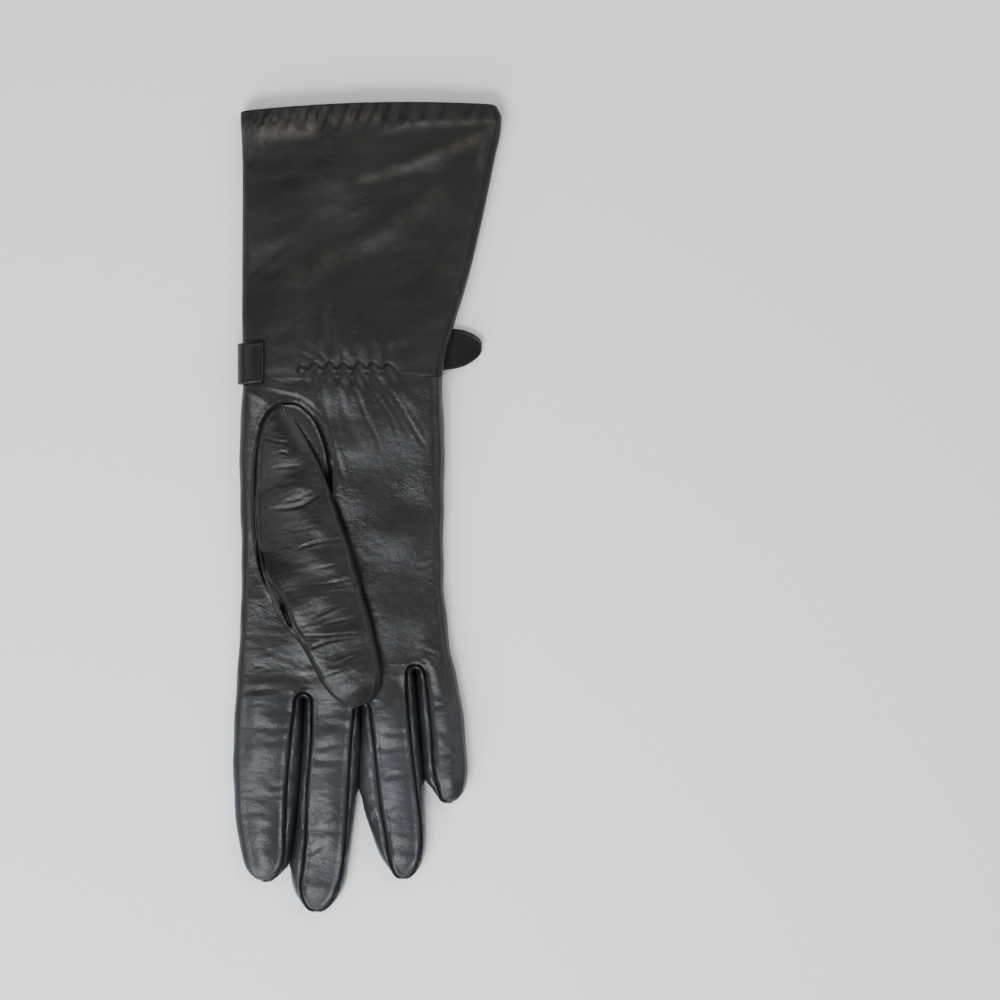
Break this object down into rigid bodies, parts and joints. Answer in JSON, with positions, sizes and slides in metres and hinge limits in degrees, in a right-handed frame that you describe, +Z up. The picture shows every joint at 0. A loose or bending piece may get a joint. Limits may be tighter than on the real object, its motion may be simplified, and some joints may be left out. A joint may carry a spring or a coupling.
{
  "type": "long leather glove",
  "caption": "Long black leather glove for the right hand, lying palm up: flared cuff, wrist gathers with a strap round the back, side strips between the fingers and a set-in thumb.",
  "frame": {"origin": "under the middle of the glove's whole extent, on the surface that it lies on", "axes": "+Y runs along the glove from the fingertips to the mouth of the cuff, +X runs across the hand from the thumb side to the little finger, +Z is up, out of the palm"},
  "size_m": [0.1076, 0.3236, 0.018],
  "materials": {
    "hand_leather": "supple smooth leather, semi-gloss",
    "fourchette_leather": "supple smooth leather, semi-gloss, darker between the fingers",
    "cuff_leather": "smooth leather, satin",
    "strap_leather": "smooth leather, semi-gloss, edge stitched",
    "thread": "twisted sewing thread"
  },
  "bodies": {
    "root": {"hand": "hand_leather", "index_finger": "hand_leather", "middle_finger": "hand_leather", "ring_finger": "hand_leather", "little_finger": "hand_leather", "fourchette_index_middle": "fourchette_leather", "fourchette_middle_ring": "fourchette_leather", "fourchette_ring_little": "fourchette_leather", "thumb": "hand_leather", "cuff": "cuff_leather", "strap": "strap_leather", "strap_keeper": "strap_leather"}
  },
  "joints": []
}
